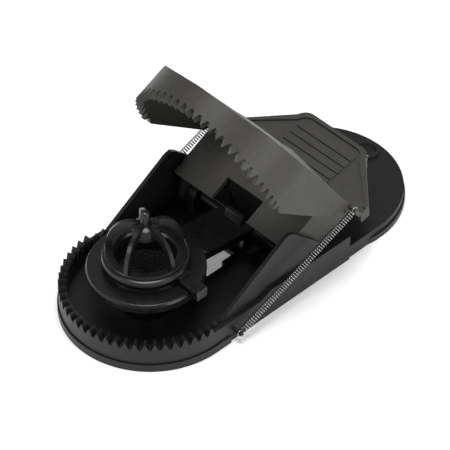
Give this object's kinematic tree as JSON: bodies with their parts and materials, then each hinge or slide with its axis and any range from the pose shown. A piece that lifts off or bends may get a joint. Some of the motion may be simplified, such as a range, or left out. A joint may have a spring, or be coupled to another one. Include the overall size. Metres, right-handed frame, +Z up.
{
  "type": "snap mouse trap",
  "caption": "Toothed plastic tray trap set open: a sprung jaw with a press lever hinges at the rear over a trigger pedal that carries a caged bait cup.",
  "frame": {"origin": "centre of the bounding box's footprint, on the surface the tray stands on", "axes": "+Z up, +Y along the trap from the round toothed front to the tail, +X to the right seen from the front"},
  "size_m": [0.0522, 0.1072, 0.062],
  "materials": {
    "black": "black polypropylene, satin moulded finish",
    "gloss": "black moulded plastic, semi-gloss",
    "warm_grey": "dark warm-grey moulded plastic, fine satin texture",
    "steel": "bright drawn spring steel wire"
  },
  "bodies": {
    "base": {"base": "black", "hinge_pin": "black", "pedal_pin": "black"},
    "jaw": {"jaw": "warm_grey"},
    "pedal": {"pedal": "gloss"},
    "bait": {"bait_cup": "gloss", "bait_cage": "gloss"},
    "spring_left": {"spring_left": "steel"},
    "spring_right": {"spring_right": "steel"}
  },
  "joints": [
    {"name": "jaw_hinge", "type": "hinge", "parent": "base", "child": "jaw", "pos_m": [0, 0.0032, 0.0063], "axis": [1, 0, 0], "range_deg": [-4, 64.05], "deforming": ["spring_left", "spring_right"]},
    {"name": "pedal_pivot", "type": "hinge", "parent": "base", "child": "pedal", "pos_m": [0, -0.0007, 0.0036], "axis": [1, 0, 0], "range_deg": [0, 2]},
    {"name": "bait_twist", "type": "hinge", "parent": "pedal", "child": "bait", "pos_m": [0, -0.0311, 0.0118], "axis": [0, 0, 1], "range_deg": [0, 40]},
    {"name": "spring_left_swing", "type": "hinge", "parent": "base", "child": "spring_left", "pos_m": [-0.0252, -0.0226, 0.003], "axis": [1, 0, 0], "range_deg": [-2, 25.5]},
    {"name": "spring_right_swing", "type": "hinge", "parent": "base", "child": "spring_right", "pos_m": [0.0252, -0.0226, 0.003], "axis": [1, 0, 0], "range_deg": [-2, 25.5]}
  ],
  "couplings": [
    {"joint": "spring_left_swing", "follows": "jaw_hinge", "ratio": 0.3916},
    {"joint": "spring_right_swing", "follows": "jaw_hinge", "ratio": 0.3916}
  ]
}
